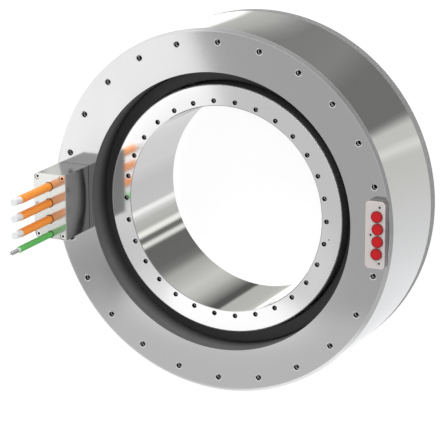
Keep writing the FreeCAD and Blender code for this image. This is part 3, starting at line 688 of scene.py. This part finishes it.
def addLead(name, place, length, diameter, material):
    data = bpy.data.curves.new(name, "CURVE")
    data.dimensions = "3D"
    spline = data.splines.new("NURBS")
    spline.points.add(leads["spans"])
    for step, point in enumerate(spline.points):
        height = leads["top"] + length * step / leads["spans"]
        point.co = (place[0], place[1], height, 1.0)
    spline.order_u = leads["order"]
    spline.use_endpoint_u = True
    spline.resolution_u = leads["lengthSteps"]
    data.bevel_depth = diameter / 2
    data.bevel_resolution = leads["roundSteps"]
    data.use_fill_caps = True
    data.materials.append(material)
    lead = bpy.data.objects.new(name, data)
    scene.collection.objects.link(lead)
    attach(lead, "stator")
    return lead


for letter, side in leads["powerPlaces"].items():
    place = (leads["powerRow"], side)
    lead = addLead("powerLead" + letter.upper(), place, leads["powerLength"],
                   leads["powerDiameter"], finishes["orange_jacket"])
    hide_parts("power_cable_" + letter)
signalLead = addLead("signalLead", leads["signalPlace"], leads["signalLength"],
                     leads["signalDiameter"], finishes["green_jacket"])
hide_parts("signal_cable")
print("leads made")


# Threads in the tapped holes: one ridge is turned, then copied into each hole

def deselectAll():
    for thing in bpy.context.selected_objects:
        thing.select_set(False)


def makeThread(name, thread):
    deselectAll()
    bpy.ops.mesh.primitive_circle_add(
        vertices=3,
        radius=thread["ridge"],
        location=(thread["core"], 0, 0),
        rotation=(math.pi / 2, -math.pi / 2, 0),
    )
    ridge = bpy.context.object
    ridge.name = name
    bpy.ops.object.transform_apply(location=True, rotation=True, scale=True)
    screw = ridge.modifiers.new("turns", "SCREW")
    screw.screw_offset = thread["pitch"]
    screw.iterations = thread["turns"]
    screw.steps = thread["steps"]
    screw.render_steps = thread["steps"]
    screw.use_merge_vertices = True
    screw.merge_threshold = 0.01 * mm
    bpy.ops.object.modifier_apply(modifier=screw.name)
    bpy.ops.object.mode_set(mode="EDIT")
    bpy.ops.mesh.select_all(action="SELECT")
    bpy.ops.mesh.fill_holes(sides=4)
    bpy.ops.mesh.normals_make_consistent(inside=False)
    bpy.ops.object.mode_set(mode="OBJECT")
    return ridge


def copyRound(first, places, name):
    # puts a copy of the first piece at each place and joins them to one mesh
    copies = []
    for place in places:
        copy = first.copy()
        copy.data = first.data.copy()
        copy.location = place
        scene.collection.objects.link(copy)
        copies.append(copy)
    bpy.data.objects.remove(first)
    deselectAll()
    for copy in copies:
        copy.select_set(True)
    bpy.context.view_layer.objects.active = copies[0]
    bpy.ops.object.join()
    joined = bpy.context.object
    joined.name = name
    bpy.ops.object.transform_apply(location=True, rotation=True, scale=True)
    return joined


# what the stator's M8 holes have in common, and the rotor's M6 holes
statorThread = {
    "body": "stator",
    "core": 3.42 * mm,
    "ridge": 0.32 * mm,
    "pitch": 1.25 * mm,
    "turns": 7,
    "steps": 16,
    "circle": 204 * mm,
    "count": 24,
}
rotorThread = {
    "body": "rotor",
    "core": 2.52 * mm,
    "ridge": 0.26 * mm,
    "pitch": 1.0 * mm,
    "turns": 8,
    "steps": 14,
    "count": 30,
}
# side is the end of the carrier that the holes start from: 1 is its top, 0 its bottom
threads = {
    "flangeThreads": {
        **statorThread,
        "carrier": "stator_housing",
        "side": 1,
        "slot": "machined_aluminium",
        "bottom": 128.6 * mm,
        "leftOut": (0, 12),  # places under the blocks
    },
    "rearThreads": {
        **statorThread,
        "carrier": "rear_ring",
        "side": 0,
        "slot": "ring_aluminium",
        "bottom": 1.4 * mm,
        "leftOut": (),
    },
    "rotorThreads": {
        **rotorThread,
        "carrier": "rotor_ring",
        "side": 1,
        "slot": "rotor_steel",
        "circle": 131 * mm,
        "bottom": 112.2 * mm,
        "leftOut": (),
    },
    "rotorRearThreads": {
        **rotorThread,
        "carrier": "rotor_ring",
        "side": 0,
        "slot": "rotor_steel",
        "circle": 132.5 * mm,
        "bottom": 8.6 * mm,
        "leftOut": (),
    },
}
threadShadeAndFinish = {
    "shadedMouthColor": grey(0.012),
    "highlightColor": grey(0.90),  # painted highlight: the middle turns are coloured light, and the mouth is painted dark as shade
    "highlightStart": 3.8 * mm,
    "highlightEnd": 7.4 * mm,
    "soft": 0.8 * mm,
    "roughness": 0.40,
}


def threadMetal(name, face):
    material, tree, shader = newMaterial(name)
    # painted shade at the hole's mouth and a painted highlight on the middle turns
    middle = bandMask(tree, face, threadShadeAndFinish["highlightStart"], threadShadeAndFinish["highlightEnd"],
                      threadShadeAndFinish["soft"])
    shader.inputs["Roughness"].default_value = threadShadeAndFinish["roughness"]
    feed(tree, shader.inputs["Base Color"],
         blendColor(tree, middle, threadShadeAndFinish["shadedMouthColor"], threadShadeAndFinish["highlightColor"]))
    return material


for name, thread in threads.items():
    ridge = makeThread(name, thread)
    places = []
    for number in range(thread["count"]):
        if number not in thread["leftOut"]:
            angle = math.tau * number / thread["count"]
            places.append((thread["circle"] * math.cos(angle), thread["circle"] * math.sin(angle),
                           thread["bottom"]))
    piece = copyRound(ridge, places, name)
    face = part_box(thread["carrier"])[thread["side"]].z
    piece.data.materials.append(threadMetal(name, face))
    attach(piece, thread["body"])
print("threads cut")


# Studio: floor, world and lamps

brightest = 2.5  # tone at the top of a ramp

# lines on the flange face that bound the bright part of the ceiling at its left
leftSides = [
    {"through": (-0.011, 0.165), "towards": (-0.92, -0.39), "soft": 0.006},
    {"through": (-0.135, 0.040), "towards": (-0.55, 0.83), "soft": 0.02},
]
studio = {
    "floorSize": 14.0,
    "floorShown": 0.86,  # what a camera ray sees of the floor before the light on it
    "floorLit": 0.20,
    "floorPaper": 0.8,  # what diffuse rays see of it
    "diffuseLevel": 0.60,
    # tone level with the horizon by azimuth in degrees, which chamfers and rounded edges mirror
    "horizon": [(0, 0.44), (29, 0.44), (52, 0.38), (65, 0.48), (100, 0.55), (114, 0.67), (128, 1.15),
                (148, 1.25), (185, 1.3), (193, 0.86), (200, 0.66), (206, 0.64), (212, 0.80),
                (235, 0.84), (246, 0.95), (258, 1.2), (287, 1.3), (304, 0.69), (324, 0.62),
                (344, 0.45)],
    "horizonEnd": (0.50, 0.75),  # slopes up or down between which the horizon's tones end
    "overhead": 0.55,  # the plain ceiling that the flat faces mirror
    "overheadStart": (-0.05, 0.05),  # slopes between which the ring goes into the ceiling
    "leastSlope": 0.02,  # keeps the places on the flange face finite
    # soft cards on that ceiling, each placed where the flange face mirrors it, in metres:
    # one with sides lies on the far side of each of its lines, one with a size is round or oval,
    # and one with both is a round one that its lines cut
    "cards": [
        {"tone": 0.74, "sides": [{"through": (0.0, -0.105), "towards": (0.0, -1.0), "soft": 0.03}]},
        {"tone": 1.08, "at": (0.0, -0.120), "size": (0.115, 0.036), "soft": 0.6},
        {"tone": 1.15, "sides": [{"through": (0.0, 1.2), "towards": (0.2, 1.0), "soft": 0.4}]},
        {"tone": 0.30, "at": (-0.178, -0.085), "size": (0.055, 0.050), "soft": 0.8},
        {"tone": 1.32, "sides": leftSides},
        {"tone": 0.96, "at": (0.0, 0.0), "size": (0.158, 0.158), "soft": 0.06, "sides": leftSides},
        {"tone": 1.50, "at": (-0.190, 0.085), "size": (0.060, 0.060), "soft": 0.8},
        {"tone": 2.4, "at": (-0.246, -0.012), "size": (0.026, 0.036), "soft": 0.5},
        {"tone": 0.66, "at": (0.124, -0.050), "size": (0.028, 0.052), "soft": 1.2},
    ],
    "lowColor": (1.0, 1.0, 0.955, 1.0),  # what the lower half of the bore mirrors
    "lowStart": (-0.50, -0.75),  # slopes down between which it sets in
    "lowSide": (-0.2, 0.1),  # slopes along Y between which it sets in
    # tone of the low ring by azimuth in degrees, which the bore and the upright walls mirror
    "ring": [(0, 0.77), (9, 0.70), (12, 1.4), (15, 1.4), (18, 0.24), (22, 0.24), (24.5, 1.2),
             (27, 1.2), (30, 0.21), (52, 0.22), (60, 0.30), (68, 0.62), (92, 0.90), (104, 0.76),
             (128, 0.14), (135, 0.14), (139, 0.68), (165, 0.66), (177, 0.74), (180.5, 1.5),
             (205, 1.5), (211, 1.0), (217, 0.62), (230, 0.60), (237, 0.88), (300, 0.95),
             (320, 0.84), (346, 0.88), (348.5, 1.4), (351.5, 1.4), (354, 1.05), (360, 0.77)],
    # a card that lies on the floor round the motor, for the jacket's reflections
    "skirtReach": 330 * mm,
    "skirtMiddle": 247 * mm,
    "skirtInner": 221 * mm,
    "skirtHeight": 0.3 * mm,
    "skirtCorners": 180,
    # its tone by azimuth in degrees
    "skirt": [(0, 0.88), (14, 0.80), (18.5, 0.80), (21.5, 1.05), (24, 0.80), (28, 0.82), (31.5, 0.24),
              (50, 0.24), (60, 0.33), (76, 0.29), (83, 0.38), (91, 0.54), (98, 0.60), (105, 0.64),
              (109, 1.5), (128, 1.5), (148, 0.9), (153, 0.38), (178, 0.38), (190, 0.9),
              (245, 0.90), (255, 1.6), (288, 1.6), (295, 1.40), (299, 1.05), (303, 0.98),
              (335, 1.02), (352, 0.92), (360, 0.88)],
    "skirtTwist": math.radians(440),  # how far the tones turn with each metre outwards
    "skirtTwistTurn": (120 * mm, -20 * mm),  # places on the X axis between which the twist sets in
    "skirtColors": ((0.985, 0.99, 1.0, 1.0), (1.0, 1.0, 0.965, 1.0)),  # near the viewer, far side
    "skirtTurn": (-40 * mm, 60 * mm),  # places on the Y axis between which one goes into the other
}


def bareMaterial(name):
    material = bpy.data.materials.new(name)
    material.use_nodes = True
    tree = material.node_tree
    tree.nodes.clear()
    return material, tree, addNode(tree, "ShaderNodeOutputMaterial").inputs["Surface"]


def makeFloor():
    deselectAll()
    bpy.ops.mesh.primitive_plane_add(size=studio["floorSize"], location=(0, 0, 0))
    floor = bpy.context.object
    floor.name = "floor"
    material, tree, surface = bareMaterial("floorPaper")
    shown = addNode(tree, "ShaderNodeEmission")
    shown.inputs["Strength"].default_value = studio["floorShown"]
    lit = addNode(tree, "ShaderNodeBsdfDiffuse")
    lit.inputs["Color"].default_value = grey(studio["floorLit"])
    paper = addNode(tree, "ShaderNodeBsdfDiffuse")
    paper.inputs["Color"].default_value = grey(studio["floorPaper"])
    both = addNode(tree, "ShaderNodeAddShader")
    feed(tree, both.inputs[0], shown.outputs[0])
    feed(tree, both.inputs[1], lit.outputs[0])
    ray = addNode(tree, "ShaderNodeLightPath").outputs
    direct = calc(tree, "MAXIMUM", ray["Is Camera Ray"],
                  calc(tree, "MAXIMUM", ray["Is Glossy Ray"], ray["Is Transmission Ray"]))
    mix = addNode(tree, "ShaderNodeMixShader")
    feed(tree, mix.inputs[0], direct)
    feed(tree, mix.inputs[1], paper.outputs[0])
    feed(tree, mix.inputs[2], both.outputs[0])
    feed(tree, surface, mix.outputs[0])
    floor.data.materials.append(material)
    floor.visible_glossy = False  # the metal mirrors the studio's low ring instead


def toneRamp(tree, x, y, stops, twist=0.0):
    # tone by azimuth round the motor's axis
    angle = calc(tree, "SUBTRACT", calc(tree, "ARCTAN2", y, x), twist)
    turn = calc(tree, "DIVIDE", angle, math.tau)
    ramp = addNode(tree, "ShaderNodeValToRGB")
    marks = ramp.color_ramp.elements
    for number, (azimuth, tone) in enumerate(stops):
        mark = marks[number] if number < 2 else marks.new(azimuth / 360)
        mark.position = azimuth / 360
        mark.color = grey(min(tone, brightest) / brightest)
    feed(tree, ramp.inputs[0], calc(tree, "FRACT", calc(tree, "ADD", turn, 1.0)))
    return calc(tree, "MULTIPLY", ramp.outputs[0], brightest)


def makeSkirt():
    # a ring-shaped card on the floor that only reflections show
    deselectAll()
    bpy.ops.mesh.primitive_circle_add(vertices=studio["skirtCorners"], radius=studio["skirtReach"],
                                      fill_type="NGON", location=(0, 0, studio["skirtHeight"]))
    skirt = bpy.context.object
    skirt.name = "skirt"
    bpy.ops.object.mode_set(mode="EDIT")
    bpy.ops.mesh.select_all(action="SELECT")
    bpy.ops.mesh.inset(thickness=studio["skirtReach"] - studio["skirtInner"])
    bpy.ops.mesh.delete(type="FACE")
    bpy.ops.object.mode_set(mode="OBJECT")
    material, tree, surface = bareMaterial("skirtCard")
    place = objectPlace(tree)
    x, y, z = axes(tree, place)
    glow = addNode(tree, "ShaderNodeEmission")
    near, far = studio["skirtColors"]
    feed(tree, glow.inputs["Color"],
         blendColor(tree, ease(tree, y, *studio["skirtTurn"]), near, far))
    outwards = calc(tree, "SUBTRACT", axisDistance(tree, place), studio["skirtMiddle"])
    twist = calc(tree, "MULTIPLY", outwards,
                 ease(tree, x, *studio["skirtTwistTurn"], 0.0, studio["skirtTwist"]))
    feed(tree, glow.inputs["Strength"], toneRamp(tree, x, y, studio["skirt"], twist))
    feed(tree, surface, glow.outputs[0])
    skirt.data.materials.append(material)
    skirt.visible_camera = False
    skirt.visible_diffuse = False
    skirt.visible_transmission = False
    skirt.visible_shadow = False


def cardMask(tree, card, u, v):
    # white on the card, black beside it
    mask = 1.0
    for side in card.get("sides", []):
        across = Vector(side["towards"]).normalized()
        offset = across.dot(Vector(side["through"]))
        distance = calc(tree, "ADD", calc(tree, "MULTIPLY", u, across.x),
                        calc(tree, "MULTIPLY", v, across.y))
        beyond = ease(tree, distance, offset - side["soft"] / 2, offset + side["soft"] / 2)
        mask = calc(tree, "MULTIPLY", mask, beyond)
    if "size" in card:
        aside = calc(tree, "DIVIDE", calc(tree, "SUBTRACT", u, card["at"][0]), card["size"][0])
        along = calc(tree, "DIVIDE", calc(tree, "SUBTRACT", v, card["at"][1]), card["size"][1])
        within = ease(tree, reach(tree, aside, along), 1.0 + card["soft"] / 2,
                      1.0 - card["soft"] / 2)
        mask = calc(tree, "MULTIPLY", mask, within)
    return mask


def makeWorld():
    world = bpy.data.worlds.new("studio")
    scene.world = world
    world.use_nodes = True
    tree = world.node_tree
    tree.nodes.clear()
    out = addNode(tree, "ShaderNodeOutputWorld")
    sky = addNode(tree, "ShaderNodeBackground")
    feed(tree, out.inputs["Surface"], sky.outputs[0])
    x, y, z = axes(tree, addNode(tree, "ShaderNodeTexCoord").outputs["Generated"])

    # overhead, laid out as the flange face mirrors it: u and v are places on that face in metres
    rise = cameraView["place"][2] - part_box("stator_housing")[1].z
    up = calc(tree, "MAXIMUM", z, studio["leastSlope"])
    u = calc(tree, "MULTIPLY_ADD", calc(tree, "DIVIDE", x, up), rise, cameraView["place"][0])
    v = calc(tree, "MULTIPLY_ADD", calc(tree, "DIVIDE", y, up), rise, cameraView["place"][1])
    overhead = studio["overhead"]
    for card in studio["cards"]:
        overhead = blend(tree, cardMask(tree, card, u, v), overhead, card["tone"])

    ring = toneRamp(tree, x, y, studio["ring"])
    level = blend(tree, ease(tree, z, *studio["overheadStart"]), ring, overhead)
    horizon = toneRamp(tree, x, y, studio["horizon"])
    slope = calc(tree, "ABSOLUTE", z)
    level = blend(tree, ease(tree, slope, *studio["horizonEnd"]), horizon, level)

    ray = addNode(tree, "ShaderNodeLightPath").outputs
    level = blend(tree, ray["Is Diffuse Ray"], level, studio["diffuseLevel"])
    level = blend(tree, ray["Is Camera Ray"], level, 1.0)
    feed(tree, sky.inputs["Strength"], level)
    low = calc(tree, "MULTIPLY", ease(tree, z, *studio["lowStart"]),
               ease(tree, y, *studio["lowSide"]))
    feed(tree, sky.inputs["Color"], blendColor(tree, low, grey(1.0), studio["lowColor"]))


lamps = {
    "keyLamp": {"place": (-0.4, 2.4, 1.6), "size": 1.4, "watts": 55.0},
    "fillLamp": {"place": (2.2, 0.2, 1.6), "size": 1.6, "watts": 16.0},
    "frontLamp": {"place": (0.9, 0.6, 2.1), "size": 0.4, "watts": 10.0},
}


def makeLamps():
    for name, lamp in lamps.items():
        bpy.ops.object.light_add(type="AREA", location=lamp["place"])
        light = bpy.context.object
        light.name = name
        light.data.size = lamp["size"]
        light.data.energy = lamp["watts"]
        light.rotation_euler = Vector(lamp["place"]).to_track_quat("Z", "Y").to_euler()
        light.visible_glossy = False


makeFloor()
makeSkirt()
makeWorld()
makeLamps()
scene.view_settings.view_transform = "Standard"
print("studio set")
